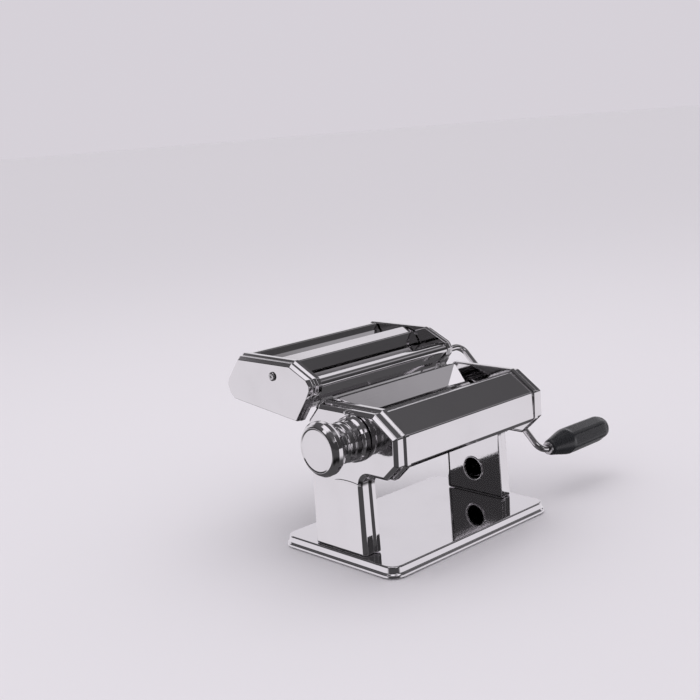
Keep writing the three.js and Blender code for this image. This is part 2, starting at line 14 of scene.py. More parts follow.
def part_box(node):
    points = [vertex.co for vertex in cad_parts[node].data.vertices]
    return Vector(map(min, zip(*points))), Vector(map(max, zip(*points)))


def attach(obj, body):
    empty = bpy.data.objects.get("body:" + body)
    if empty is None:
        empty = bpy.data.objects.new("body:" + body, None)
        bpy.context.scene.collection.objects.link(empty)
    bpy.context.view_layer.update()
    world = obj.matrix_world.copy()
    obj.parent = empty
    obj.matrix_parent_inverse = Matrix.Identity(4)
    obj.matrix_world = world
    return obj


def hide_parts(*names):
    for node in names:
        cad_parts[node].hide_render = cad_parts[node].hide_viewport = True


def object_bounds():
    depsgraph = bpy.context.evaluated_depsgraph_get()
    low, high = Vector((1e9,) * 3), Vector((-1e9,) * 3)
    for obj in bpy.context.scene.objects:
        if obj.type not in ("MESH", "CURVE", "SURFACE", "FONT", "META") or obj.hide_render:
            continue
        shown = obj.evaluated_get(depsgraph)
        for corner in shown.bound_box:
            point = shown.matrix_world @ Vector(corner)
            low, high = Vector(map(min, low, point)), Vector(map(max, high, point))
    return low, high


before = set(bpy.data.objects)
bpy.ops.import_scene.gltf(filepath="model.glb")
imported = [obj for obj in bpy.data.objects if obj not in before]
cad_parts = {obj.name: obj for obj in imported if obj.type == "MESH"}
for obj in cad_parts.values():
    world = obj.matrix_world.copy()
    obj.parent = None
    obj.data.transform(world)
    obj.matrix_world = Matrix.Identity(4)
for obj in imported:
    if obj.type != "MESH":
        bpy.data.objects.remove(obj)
bounds0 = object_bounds()

# ------------------------------
# Studio: a wide pale floor that meets a sky of its own colour, with soft lamps overhead and on the left.
# What the polished faces see is set apart in the sky: a bright table that stops short of the viewer, a
# bright backdrop behind, a dark room all round, and a few bright windows.

low, high = (np.array(corner) for corner in bounds0)
machine_middle = (low + high) / 2

camera_azimuth = math.radians(-45.7)
camera_elevation = math.radians(15.2)
camera_distance = 1.017
camera_roll = math.radians(-4.5)
camera_lens = 58.9
aim_offset = np.array([-0.0275, 0.052, 0.0655])   # puts the machine low and right in the frame


def direction(azimuth, elevation):
    """Unit vector from the machine to a viewer: (sin a cos e, -cos a cos e, sin e)."""
    return np.array([math.sin(azimuth) * math.cos(elevation),
                     -math.cos(azimuth) * math.cos(elevation), math.sin(elevation)])


def looking(position, target, roll=0.0):
    """Matrix that puts a camera or lamp at a position with its -Z towards the target, then rolled."""
    back = np.asarray(position) - np.asarray(target)
    back /= np.linalg.norm(back)
    right = np.cross((0.0, 0.0, 1.0), back)
    right /= np.linalg.norm(right)
    up = np.cross(back, right)
    turned = np.eye(4)
    turned[:3, 0] = math.cos(roll) * right + math.sin(roll) * up
    turned[:3, 1] = math.cos(roll) * up - math.sin(roll) * right
    turned[:3, 2] = back
    turned[:3, 3] = position
    return Matrix(turned.tolist())


def add_object(name, data):
    """A new object at the origin, linked to the scene."""
    thing = bpy.data.objects.new(name, data)
    bpy.context.scene.collection.objects.link(thing)
    return thing


camera_data = bpy.data.cameras.new("camera")
camera_data.lens = camera_lens
camera_data.sensor_width = 36.0
camera_data.clip_start = 0.01
camera_data.clip_end = 50.0
camera = add_object("camera", camera_data)
camera_place = machine_middle + camera_distance * direction(camera_azimuth, camera_elevation)
camera.matrix_world = looking(camera_place, machine_middle + aim_offset, camera_roll)
bpy.context.scene.camera = camera
bpy.context.scene.view_settings.view_transform = "Standard"


def new_material(name):
    """A node material with a Principled shader: returns the material, its tree and the shader."""
    material = bpy.data.materials.new(name)
    material.use_nodes = True
    tree = material.node_tree
    tree.nodes.clear()
    shader = tree.nodes.new("ShaderNodeBsdfPrincipled")
    output = tree.nodes.new("ShaderNodeOutputMaterial")
    tree.links.new(shader.outputs["BSDF"], output.inputs["Surface"])
    return material, tree, shader


def add_lamp(name, position, size, power):
    """A rectangular soft lamp aimed at the middle of the machine."""
    data = bpy.data.lights.new(name, "AREA")
    data.shape = "RECTANGLE"
    data.size, data.size_y = size
    data.energy = power
    thing = add_object(name, data)
    thing.visible_glossy = False
    thing.matrix_world = looking(machine_middle + np.array(position), machine_middle)


floor_reach = 30.0
floor_sides = 64
floor_drop = 0.0002     # keeps the feet from sharing the floor's plane
floor_mesh = bpy.data.meshes.new("floor")
floor_turn = np.linspace(0.0, 2 * math.pi, floor_sides + 1)[:-1]
floor_rim = floor_reach * np.column_stack([np.cos(floor_turn), np.sin(floor_turn), 0 * floor_turn])
floor_rim += (0.0, 0.0, low[2] - floor_drop)
floor_mesh.from_pydata(floor_rim.tolist(), [], [list(range(floor_sides))])
floor_paper, _, floor_shader = new_material("floor_paper")
floor_shader.inputs["Base Color"].default_value = (0.80, 0.775, 0.815, 1.0)
floor_shader.inputs["Roughness"].default_value = 0.9
floor_mesh.materials.append(floor_paper)
floor = add_object("floor", floor_mesh)
floor.visible_glossy = False

world = bpy.data.worlds.new("studio_sky")
bpy.context.scene.world = world
world.use_nodes = True
sky = world.node_tree
sky_way = sky.nodes.new("ShaderNodeTexCoord").outputs["Generated"]


def maths(tree, operation, *operands):
    """One Math node; each operand is a socket or a plain number."""
    node = tree.nodes.new("ShaderNodeMath")
    node.operation = operation
    for socket, value in zip(node.inputs, operands):
        if isinstance(value, (int, float)):
            socket.default_value = value
        else:
            tree.links.new(value, socket)
    return node.outputs[0]


def towards(way):
    """Cosine between the sky direction and a unit vector."""
    node = sky.nodes.new("ShaderNodeVectorMath")
    node.operation = "DOT_PRODUCT"
    sky.links.new(sky_way, node.inputs[0])
    node.inputs[1].default_value = tuple(np.asarray(way) / np.linalg.norm(way))
    return node.outputs["Value"]


def ramp(value, start, end, first=0.0, last=1.0):
    """A smooth step from one level to another as the value goes from start to end."""
    node = sky.nodes.new("ShaderNodeMapRange")
    node.interpolation_type = "SMOOTHSTEP"
    sky.links.new(value, node.inputs["Value"])
    for label, number in (("From Min", start), ("From Max", end), ("To Min", first), ("To Max", last)):
        node.inputs[label].default_value = number
    return node.outputs[0]


def window(way, width, height, soft):
    """1 inside an upright rectangle of sky round a direction, by its cosines with two side vectors,
    falling to 0 over a soft edge."""
    way = np.asarray(way) / np.linalg.norm(way)
    across = np.cross((0.0, 0.0, 1.0), way)
    across /= np.linalg.norm(across)
    upward = np.cross(way, across)
    inside = ramp(towards(way), 0.3, 0.4)
    for side_way, half in ((across, width / 2), (upward, height / 2)):
        off = maths(sky, "ABSOLUTE", towards(side_way))
        inside = maths(sky, "MULTIPLY", inside, ramp(off, half, half + soft, 1.0, 0.0))
    return inside


table_level = 0.84
backdrop_level = 0.74
overhead_level = 0.9
windows = [     # direction, width, height, width of the soft edge, brightness
    ((-0.62, 0.10, 0.78), 0.22, 0.40, 0.03, 0.9),
    ((-0.25, -0.75, 0.62), 0.26, 0.30, 0.03, 1.0),
    ((0.77, -0.33, 0.55), 0.06, 0.30, 0.16, 0.30),
    ((0.20, -0.95, 0.30), 0.12, 0.34, 0.03, 0.6),
]

up = towards((0, 0, 1))
viewer_way = direction(camera_azimuth, 0.0)
table = ramp(up, -0.03, 0.0, 1.0, 0.0)
dark_front = ramp(towards(viewer_way), 0.50, 0.76, 1.0, 0.085)
under = ramp(up, -0.62, -0.34, 0.10, 1.0)
table_light = maths(sky, "MULTIPLY", maths(sky, "MULTIPLY", table, dark_front), under)
table_light = maths(sky, "MULTIPLY", table_light, table_level)
back_width = ramp(towards(-viewer_way), 0.30, 0.55)
back_height = ramp(up, 0.55, 0.62, 1.0, 0.0)
above = ramp(up, -0.03, 0.0)
backdrop_light = maths(sky, "MULTIPLY", maths(sky, "MULTIPLY", back_width, back_height), backdrop_level)
room_light = ramp(up, 0.30, 0.80, 0.045, 0.10)
room = maths(sky, "MULTIPLY", above, maths(sky, "ADD", backdrop_light, room_light))
lights = ramp(up, 0.90, 0.95, 0.0, overhead_level)
for way, width, height, soft, brightness in windows:
    lights = maths(sky, "MULTIPLY_ADD", window(way, width, height, soft), brightness, lights)
reflected = maths(sky, "ADD", maths(sky, "ADD", table_light, room), lights)

tint = sky.nodes.new("ShaderNodeVectorMath")
tint.operation = "SCALE"
tint.inputs[0].default_value = (1.0, 0.97, 1.02)
sky.links.new(reflected, tint.inputs["Scale"])
ray = sky.nodes.new("ShaderNodeLightPath")
plain = sky.nodes.new("ShaderNodeMix")
plain.data_type = "RGBA"
sky.links.new(ray.outputs["Is Camera Ray"], plain.inputs[0])
plain.inputs[6].default_value = (0.84, 0.825, 0.845, 1.0)
plain.inputs[7].default_value = (0.672, 0.639, 0.689, 1.0)
seen = sky.nodes.new("ShaderNodeMix")
seen.data_type = "RGBA"
sky.links.new(ray.outputs["Is Glossy Ray"], seen.inputs[0])
sky.links.new(plain.outputs[2], seen.inputs[6])
sky.links.new(tint.outputs[0], seen.inputs[7])
sky.links.new(seen.outputs[2], sky.nodes["Background"].inputs["Color"])

add_lamp("top_softbox", (0.2, 0.3, 1.5), (1.6, 1.2), 4.0)
add_lamp("left_softbox", (-1.5, -0.1, 1.2), (0.9, 0.9), 1.5)

# ------------------------------
# Base: one pressed pan of chromed steel sheet, its edge flared out and turned down into a lip.
# The two legs stand on its flat top.

base_low, base_high = (np.array(corner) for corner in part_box("base_plate"))
base_origin = np.array([*(base_low + base_high)[:2] / 2, base_low[2]])

base_plateau = 8.7
base_half = np.array([93.0, 62.9])
base_lip = 3.2
base_corner = 9.0
sheet = 1.0


def place(points):
    """Machine millimetres to metres in the shared frame."""
    return np.asarray(points, float) / 1000.0 + base_origin


def noise(tree, vector, scale, detail):
    """A Noise Texture's factor on a vector."""
    node = tree.nodes.new("ShaderNodeTexNoise")
    node.inputs["Scale"].default_value = scale
    node.inputs["Detail"].default_value = detail
    tree.links.new(vector, node.inputs["Vector"])
    return node.outputs[0]


def empty_group(name, inputs, outputs):
    """A shader node group with the named inputs and outputs, and its two end nodes."""
    group = bpy.data.node_groups.new(name, "ShaderNodeTree")
    for label, kind, value in inputs:
        socket = group.interface.new_socket(name=label, in_out="INPUT", socket_type="NodeSocket" + kind)
        socket.default_value = value
    for label, kind in outputs:
        group.interface.new_socket(name=label, in_out="OUTPUT", socket_type="NodeSocket" + kind)
    return group, group.nodes.new("NodeGroupInput"), group.nodes.new("NodeGroupOutput")


def polish_group():
    """Polished metal. Haze is the cube of a slow noise, so it lies in patches; lines are a noise drawn
    out along the grain. Roughness = base + haze + lines, and Height = sheet waviness + lines."""
    group, inlet, outlet = empty_group(
        "polish",
        [("Base roughness", "Float", 0.06), ("Haze", "Float", 0.08), ("Lines", "Float", 0.04),
         ("Wave", "Float", 0.3), ("Grain", "Vector", (30.0, 900.0, 900.0)),
         ("Colour", "Color", (0.8, 0.8, 0.8, 1.0))],
        [("Roughness", "Float"), ("Height", "Float"), ("Colour", "Color")])
    spot = group.nodes.new("ShaderNodeTexCoord").outputs["Object"]
    haze = maths(group, "POWER", noise(group, spot, 24.0, 4.0), 3.0)
    stretch = group.nodes.new("ShaderNodeVectorMath")
    stretch.operation = "MULTIPLY"
    group.links.new(spot, stretch.inputs[0])
    group.links.new(inlet.outputs["Grain"], stretch.inputs[1])
    lines = maths(group, "POWER", noise(group, stretch.outputs[0], 1.0, 2.0), 4.0)
    rough = maths(group, "MULTIPLY_ADD", haze, inlet.outputs["Haze"], inlet.outputs["Base roughness"])
    rough = maths(group, "MULTIPLY_ADD", lines, inlet.outputs["Lines"], rough)
    group.links.new(rough, outlet.inputs["Roughness"])
    wave = maths(group, "MULTIPLY", noise(group, spot, 9.0, 1.0), inlet.outputs["Wave"])
    fine = maths(group, "MULTIPLY", lines, inlet.outputs["Lines"])
    group.links.new(maths(group, "ADD", wave, fine), outlet.inputs["Height"])
    mix = group.nodes.new("ShaderNodeMix")
    mix.data_type = "RGBA"
    mix.blend_type = "MULTIPLY"
    group.links.new(maths(group, "MULTIPLY", haze, 0.5), mix.inputs[0])
    group.links.new(inlet.outputs["Colour"], mix.inputs[6])
    mix.inputs[7].default_value = (0.70, 0.69, 0.68, 1.0)
    group.links.new(mix.outputs[2], outlet.inputs["Colour"])
    return group


polish = polish_group()
chrome = (0.80, 0.785, 0.80)


def polished(name, colour, roughness, haze, lines=0.05, wave=0.3, grain=(30.0, 900.0, 900.0)):
    """Chrome or steel with its own amounts of haze, polishing lines and waviness."""
    material, tree, shader = new_material(name)
    effect = tree.nodes.new("ShaderNodeGroup")
    effect.node_tree = polish
    for label, value in (("Base roughness", roughness), ("Haze", haze), ("Lines", lines), ("Wave", wave),
                         ("Grain", grain), ("Colour", (*colour, 1.0))):
        effect.inputs[label].default_value = value
    bump = tree.nodes.new("ShaderNodeBump")
    bump.inputs["Strength"].default_value = 0.6
    bump.inputs["Distance"].default_value = 0.0008
    tree.links.new(effect.outputs["Height"], bump.inputs["Height"])
    tree.links.new(bump.outputs[0], shader.inputs["Normal"])
    tree.links.new(effect.outputs["Roughness"], shader.inputs["Roughness"])
    tree.links.new(effect.outputs["Colour"], shader.inputs["Base Color"])
    shader.inputs["Metallic"].default_value = 1.0
    return material


def build(name, skin_of, material, body, replaced=(), edge=0.0):
    """A piece from machine points and faces; edge is the radius left on its cut edges."""
    points, faces = skin_of
    mesh = bpy.data.meshes.new(name)
    mesh.from_pydata(place(points).tolist(), [], [list(face) for face in faces])
    mesh.shade_smooth()
    mesh.set_sharp_from_angle(angle=math.radians(32))
    mesh.materials.append(material)
    thing = add_object(name, mesh)
    if edge:
        bevel = thing.modifiers.new("eased_edges", "BEVEL")
        bevel.width = edge / 1000.0
        bevel.segments = 2
        bevel.limit_method = "ANGLE"
        bevel.angle_limit = math.radians(40)
        bevel.harden_normals = True
    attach(thing, body)
    if replaced:
        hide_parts(*replaced)
    return thing


def turned_out(points, faces):
    """Points and faces, with the faces reversed if the fan tetrahedra they span sum to less than 0."""
    spots = np.asarray(points) - np.mean(points, axis=0)
    volume = 0.0
    for face in faces:
        volume += float((np.cross(spots[face[1:-1]], spots[face[2:]]) @ spots[face[0]]).sum())
    return points, ([face[::-1] for face in faces] if volume < 0 else faces)


def grid_faces(rows, columns, wrap_rows=False, wrap_columns=False):
    """Quads between neighbouring points of a grid, wrapped round either way."""
    row, column = np.meshgrid(np.arange(rows if wrap_rows else rows - 1),
                              np.arange(columns if wrap_columns else columns - 1), indexing="ij")
    row, column = row.ravel(), column.ravel()
    below, beside = (row + 1) % rows, (column + 1) % columns
    return np.stack([row * columns + column, row * columns + beside,
                     below * columns + beside, below * columns + column], axis=1).tolist()


def skin(loops, holes=(), flat=(1, 2)):
    """A closed skin over equal loops with a flat cap at each end. A hole is two rings of points, one in
    the first cap and one in the last, joined by a wall; flat names the two axes the caps lie in."""
    loops = np.asarray(loops, float)
    rows, columns = loops.shape[:2]
    points = [loops.reshape(-1, 3)]
    faces = grid_faces(rows, columns, wrap_columns=True)
    first, last = [np.arange(columns)], [(rows - 1) * columns + np.arange(columns)]
    start = rows * columns
    for ring_first, ring_last in holes:
        count = len(ring_first)
        points += [ring_first, ring_last]
        first.append(start + np.arange(count))
        last.append(start + count + np.arange(count))
        faces += [[start + a, start + d, start + c, start + b] for a, b, c, d in
                  grid_faces(2, count, wrap_columns=True)]
        start += 2 * count
    points = np.concatenate(points)
    for cap, front in ((first, False), (last, True)):
        if not holes:
            faces.append((cap[0] if front else cap[0][::-1]).tolist())
            continue
        index = np.concatenate(cap)
        rings = [[Vector((*points[i][list(flat)], 0.0)) for i in ring] for ring in cap]
        for triangle in tessellate_polygon(rings):
            a, b, c = (points[index[i]][list(flat)] for i in triangle)
            turn = (b[0] - a[0]) * (c[1] - a[1]) - (b[1] - a[1]) * (c[0] - a[0])
            if abs(turn) > 1e-9:
                face = [int(index[i]) for i in triangle]
                faces.append(face if (turn > 0) == front else face[::-1])
    return turned_out(points, faces)


def joined(*skins):
    """Several skins as one."""
    points, faces, start = [], [], 0
    for some_points, some_faces in skins:
        points.append(np.asarray(some_points, float))
        faces += [[int(i) + start for i in face] for face in some_faces]
        start += len(some_points)
    return np.concatenate(points), faces


def rounded_line(corners, radii, steps=6, hold=0.08):
    """A line whose inner corners become arcs tangent to both sides. A point a little beyond each end of
    an arc holds the flat sides flat. Radius 0 keeps a corner."""
    p = np.asarray(corners, float)
    pieces = [p[:1]]
    for before, here, after, radius in zip(p[:-2], p[1:-1], p[2:], radii):
        if radius <= 0:
            pieces.append(here[None])
            continue
        back = (before - here) / np.linalg.norm(before - here)
        on = (after - here) / np.linalg.norm(after - here)
        half = math.acos(max(-1.0, min(1.0, float(back @ on)))) / 2
        reach = radius / math.tan(half)
        centre = here + (back + on) / np.linalg.norm(back + on) * radius / math.sin(half)
        start, end = here + back * reach - centre, here + on * reach - centre
        sweep = math.pi - 2 * half
        share = np.linspace(0, 1, steps + 1)[:, None]
        arc = centre + (np.sin((1 - share) * sweep) * start + np.sin(share * sweep) * end) / math.sin(sweep)
        pieces += [(here + back * (reach + hold))[None], arc, (here + on * (reach + hold))[None]]
    pieces.append(p[-1:])
    return np.concatenate(pieces)


def rounded_loop(corners, radii, steps=6, hold=0.08):
    """The closed form of rounded_line."""
    p = np.asarray(corners, float)
    line = rounded_line(np.concatenate([p[-1:], p, p[:1]]), radii, steps, hold)
    return line[1:-1]


def moved_in(corners, distance):
    """The sides of an anticlockwise polygon moved in by a distance: each corner goes along the sum of
    its two inward normals, over one plus their product."""
    p = np.asarray(corners, float)
    ahead = np.roll(p, -1, axis=0) - p
    ahead /= np.linalg.norm(ahead, axis=1, keepdims=True)
    on = np.stack([-ahead[:, 1], ahead[:, 0]], axis=1)
    before = np.roll(on, 1, axis=0)
    return p + (on + before) * distance / (1 + (on * before).sum(axis=1, keepdims=True))


def base_pan():
    """Rounded rectangles carried along the wall's section, which is (spread beyond the flat, height)."""
    section = rounded_line([
        (-30, base_plateau - sheet), (-1.2, base_plateau - sheet), (0.5, 2.4), (base_lip - 1.0, 1.3),
        (base_lip - 1.0, 0), (base_lip, 0), (base_lip, 2.1), (1.5, 3.2), (1.1, base_plateau),
        (-30, base_plateau),
    ], [1.2, 0.9, 0.3, 0.25, 0.35, 0.9, 1.0, 1.3], 5)
    loops = []
    for spread, height in section:
        half = base_half + spread
        corners = [(-half[0], -half[1]), (half[0], -half[1]), (half[0], half[1]), (-half[0], half[1])]
        outline = rounded_loop(corners, [max(base_corner + spread, 0.6)] * 4, 10)
        loops.append(np.column_stack([outline, np.full(len(outline), height)]))
    return skin(loops, flat=(0, 1))


base_chrome = polished("base_chrome", (0.80, 0.785, 0.805), 0.045, 0.07, 0.03, 0.5)
build("base_pan", base_pan(), base_chrome, "frame", ["base_plate"])

# ------------------------------
# Feet: four black rubber pads moulded with a flat ring underneath and pressed up into the pan, which
# they lift clear of the table by a millimetre.

foot_spots = [(-80, -50), (80, -50), (80, 50), (-80, 50)]
foot_stand = 1.0


def spun(profile, centre=(0, 0, 0), axis=0, segments=64):
    """A profile of (distance along the axis, radius) turned through cos and sin. It closes in poles if
    it starts and ends at radius 0, and otherwise wraps back to its start."""
    p = np.asarray(profile, float)
    poles = p[0, 1] == 0 and p[-1, 1] == 0
    rings = p[1:-1] if poles else p
    angle = 2 * math.pi * np.arange(segments) / segments
    around = np.stack([np.cos(angle), np.sin(angle)], axis=1)
    ring = np.empty((len(rings), segments, 3))
    ring[:, :, axis] = rings[:, :1]
    ring[:, :, [(axis + 1) % 3, (axis + 2) % 3]] = rings[:, 1][:, None, None] * around
    points = ring.reshape(-1, 3)
    faces = grid_faces(len(rings), segments, wrap_rows=not poles, wrap_columns=True)
    if poles:
        ends = np.zeros((2, 3))
        ends[:, axis] = p[[0, -1], 0]
        top = len(points)
        turn = np.arange(segments)
        onward = (turn + 1) % segments
        last = (len(rings) - 1) * segments
        faces += np.stack([np.full(segments, top), onward, turn], axis=1).tolist()
        faces += np.stack([np.full(segments, top + 1), last + turn, last + onward], axis=1).tolist()
        points = np.concatenate([points, ends])
    return turned_out(points + np.asarray(centre, float), faces)


def mottled(name, colour, other, roughness, scale, depth):
    """Moulded rubber or plastic: two near colours and a fine pebbled surface from one noise."""
    material, tree, shader = new_material(name)
    spot = tree.nodes.new("ShaderNodeTexCoord").outputs["Object"]
    pebble = noise(tree, spot, scale, 3.0)
    mix = tree.nodes.new("ShaderNodeMix")
    mix.data_type = "RGBA"
    tree.links.new(noise(tree, spot, scale / 14.0, 3.0), mix.inputs[0])
    mix.inputs[6].default_value = (*colour, 1.0)
    mix.inputs[7].default_value = (*other, 1.0)
    tree.links.new(mix.outputs[2], shader.inputs["Base Color"])
    tree.links.new(maths(tree, "MULTIPLY_ADD", pebble, 0.25, roughness - 0.12), shader.inputs["Roughness"])
    bump = tree.nodes.new("ShaderNodeBump")
    bump.inputs["Strength"].default_value = 0.5
    bump.inputs["Distance"].default_value = depth
    tree.links.new(pebble, bump.inputs["Height"])
    tree.links.new(bump.outputs[0], shader.inputs["Normal"])
    return material


foot_rubber = mottled("foot_rubber", (0.028, 0.028, 0.029), (0.045, 0.044, 0.043), 0.75, 1800.0, 0.0002)
foot_profile = rounded_line([
    (-foot_stand + 0.5, 0), (-foot_stand + 0.5, 4.6), (-foot_stand, 5), (-foot_stand, 7),
    (base_plateau - sheet - 0.4, 6), (base_plateau - sheet - 0.4, 0),
], [0.3, 0.3, 0.6, 0.6], 4)
for number, (foot_x, foot_y) in enumerate(foot_spots, 1):
    build(f"rubber_foot_{number}", spun(foot_profile, (foot_x, foot_y, 0), 2, 40), foot_rubber,
          "frame", [f"foot_{number}"])

# ------------------------------
# Side housings: a deep pressed shell of chromed sheet for each leg and head, open towards the rollers.
# The rim stands out as a narrow band round the mouth and the face has a broad bevel all round.

rim_x = 75.0
housing_rim = [(-31.6, 9.1), (31.6, 9.1), (30.6, 111.7), (16, 127.5), (-48, 127.5),
               (-72, 110.5), (-71.5, 86.6), (-57, 73.2), (-30.3, 73.2)]
housing_radii = [2, 2, 3, 3, 4, 3, 3, 3, 8]
face_foot = 90.2
face_lean = 0.018
adjust_axis = (-26.0, 104.5)
fixed_axis = (3.0, 99.6)
shell_wall = 1.2
shell_bevel = 4.8
rim_band = 3.8
neck_depth = 1.9
housing_hole = 6.2
mark_middle = (-14.0, 66.3)
mark_half = 15.0


def mirrored(skin_of):
    """The same skin on the other side: x changes sign and the faces turn round."""
    points, faces = skin_of
    return np.asarray(points) * (-1, 1, 1), [face[::-1] for face in faces]


def circle(centre, radius, x, count=48):
    """A ring of points at x round a (y, z) centre."""
    angle = 2 * math.pi * np.arange(count) / count
    return np.column_stack([np.full(count, x), centre[0] + radius * np.cos(angle),
                            centre[1] + radius * np.sin(angle)])


def housing_face_x(z):
    """The face leans in towards the top: x falls by a fixed share of the height."""
    return face_foot - face_lean * (z - 13.5)


def pressed_shell(rim, face, radii, face_x, nominal, openings):
    """A section carried round the mouth. Its first number is how far the outline has gone from the rim
    outline towards the face outline, in millimetres of bevel; its second is x, stretched beyond the rim
    band so that it ends on face_x. Corners that bulge out tighten as the outline shrinks, and hollow
    ones open up. Inside first, from the floor to the rim, then back outside."""
    rim, face = np.asarray(rim, float), np.asarray(face, float)
    ahead = np.roll(rim, -1, axis=0) - rim
    before = np.roll(ahead, 1, axis=0)
    bulges = before[:, 0] * ahead[:, 1] - before[:, 1] * ahead[:, 0] > 0
    band_end = rim_x + rim_band
    outside = rounded_line([
        (0, rim_x), (0, rim_x + 0.8), (0, band_end), (neck_depth, band_end + neck_depth),
        (neck_depth, nominal - shell_bevel + neck_depth), (shell_bevel, nominal),
        (shell_bevel + 2.5, nominal),
    ], [0, 0.7, 0.8, 1.3, 1.2], 6)
    outside[0] = (0.35, rim_x)
    outside[1] = (0.06, rim_x + 0.15)
    inside = [(shell_bevel + 2.5, nominal - shell_wall), (shell_bevel, nominal - shell_wall),
              (neck_depth, nominal - shell_bevel - 0.3), (neck_depth, band_end + neck_depth + 1.0),
              (0, band_end + 0.8), (0.35, rim_x)]
    loops = []
    for section, wall in ((inside, shell_wall), (outside, 0.0)):
        for gone, x in section:
            share = min(gone, shell_bevel) / shell_bevel
            past = max(gone - shell_bevel, 0.0)
            corners = moved_in(rim + (face - rim) * share, wall + past)
            shrunk = np.where(bulges, np.maximum(np.array(radii) - 0.45 * gone - wall, 0.7),
                              np.array(radii) + gone + wall)
            loop = rounded_loop(corners, shrunk, 6, 0.05)
            stretch = max(x - band_end, 0.0) / (nominal - band_end)
            loops.append(np.column_stack([x + stretch * (face_x(loop[:, 1]) - nominal), loop]))
    holes = []
    for centre, radius in openings:
        ring = circle(centre, radius, 0)
        holes.append([ring + np.outer(face_x(ring[:, 2]) - wall, (1, 0, 0)) for wall in (shell_wall, 0)])
    return skin(loops, holes)


def pressing_mark():
    """A low lens raised on the leg's face: an arc over a straight lower edge. The raised loops shrink."""
    turn = np.linspace(0, math.pi, 25)
    loops = []
    for shrink, rise in ((0.0, -0.4), (0.0, 0.0), (0.35, 0.3), (0.7, 0.38)):
        y = mark_middle[0] + (mark_half - 3.0 * shrink) * np.cos(turn)
        z = mark_middle[1] + 0.5 * shrink + (2.4 - 1.4 * shrink) * np.sin(turn)
        loops.append(np.column_stack([housing_face_x(z) + rise, y, z]))
    return skin(loops)


housing_chrome = polished("housing_chrome", chrome, 0.05, 0.08, 0.03, 0.6)
housing_face = moved_in(housing_rim, shell_bevel)
housing_face[:2, 1] = housing_rim[0][1]
sides = (("right", lambda skin_of: skin_of), ("left", mirrored))
for (side, turn_over), axis in zip(sides, (fixed_axis, adjust_axis)):
    shell = pressed_shell(housing_rim, housing_face, housing_radii, housing_face_x, face_foot,
                          [(axis, housing_hole)])
    build(f"housing_{side}", turn_over(joined(shell, pressing_mark())), housing_chrome, "frame",
          [f"side_shell_{side}"])

# ------------------------------
# Bearing plates: a flat chromed plate closes the mouth of each housing and carries the rollers. Low
# down it is pierced for the table clamp, and the edge of that hole is rolled over.

plate_x = 76.0
plate_thickness = 1.2
clamp_hole = (1.5, 31.0)
clamp_radius = 10.5
roller_shaft = 5.0
tie_spots = {"front": (-52, 96), "rear": (24, 84)}
tie_hole = 3.4
plate_inset = 1.7       # how far a plate's edge lies inside the rim round it
plate_tightest = 0.7


def flat_plate(outline, holes, x0=plate_x, x1=plate_x + plate_thickness):
    """An outline and its holes, all (y, z) rings, raised from x0 to x1."""
    at = [np.column_stack([np.full(len(outline), x), outline]) for x in (x0, x1)]
    pairs = [[np.column_stack([np.full(len(hole), x), hole]) for x in (x0, x1)] for hole in holes]
    return skin(at, pairs)


def plate_outline(rim, radii):
    """The rim outline moved in, with its corners tightened as much."""
    return rounded_loop(moved_in(rim, plate_inset), [max(r - plate_inset, plate_tightest) for r in radii])


plate_chrome = polished("plate_chrome", chrome, 0.05, 0.07, 0.03, 0.5)
slot_turn = np.linspace(-math.pi / 2, math.pi / 2, 13)
slot_half = np.column_stack([np.cos(slot_turn), np.sin(slot_turn)]) * 7.9
carriage_slot = np.concatenate([slot_half + (adjust_axis[0] + 2.4, adjust_axis[1]),
                                -slot_half + adjust_axis])
plate_holes = [circle(clamp_hole, clamp_radius, 0, 64)[:, 1:], carriage_slot,
               circle(fixed_axis, roller_shaft + 0.5, 0)[:, 1:]]
plate_holes += [circle(spot, tie_hole, 0, 24)[:, 1:] for spot in tie_spots.values()]
bearing_plate = flat_plate(plate_outline(housing_rim, housing_radii), plate_holes)
roll_turn = np.linspace(0, 2 * math.pi, 13)[:-1]
rolled_rim = spun(np.column_stack([plate_x + 0.35 + 1.05 * np.cos(roll_turn),
                                   clamp_radius + 0.15 + 1.05 * np.sin(roll_turn)]),
                  (0, *clamp_hole), 0, 72)
for side, turn_over in sides:
    build(f"pierced_plate_{side}", turn_over(joined(bearing_plate, rolled_rim)), plate_chrome, "frame",
          [f"bearing_plate_{side}"])

# ------------------------------
# Tie rods and scrapers: two turned steel rods hold the housings apart, and a thin steel blade under
# each smooth roller strips the dough from it.

cover_end = 74.6
inner_steel = polished("inner_steel", (0.56, 0.55, 0.56), 0.24, 0.16, 0.12, 0.2)


def rod_between(half, radius, centre):
    """A round bar along x with a small chamfer at each end."""
    return spun([(-half, 0), (-half, radius - 0.4), (-half + 0.4, radius), (half - 0.4, radius),
                 (half, radius - 0.4), (half, 0)], (0, *centre), 0, 32)


for where, centre in tie_spots.items():
    build(f"tie_bar_{where}", rod_between(78.4, 3.0, centre), inner_steel, "frame",
          [f"tie_rod_{where}"])


def bar(outline, half):
    """A (y, z) outline carried from -half to half along x."""
    outline = np.asarray(outline, float)
    return skin([np.column_stack([np.full(len(outline), x), outline]) for x in (-half, half)])


scraper = np.array([(0, 0), (10, -3.2), (10, -1.8), (1.2, 1.4)])
for where, way, axis in (("front", -1, adjust_axis), ("rear", 1, fixed_axis)):
    blade = scraper * (way, 1) + (axis[0] + 4 * way, axis[1] - 15.2)
    build(f"{where}_scraper_blade", bar(blade, cover_end), inner_steel, "frame",
          [f"{where}_scraper"], 0.15)

# ------------------------------
# Smooth rollers: two ground steel rollers that thin the dough, the rear one fixed and the front one in
# brass bushes that the dial moves. Steel gears behind the right plate turn them together.

roller_radius = 13.0
roller_half = 73.5
shaft_end = 78.4


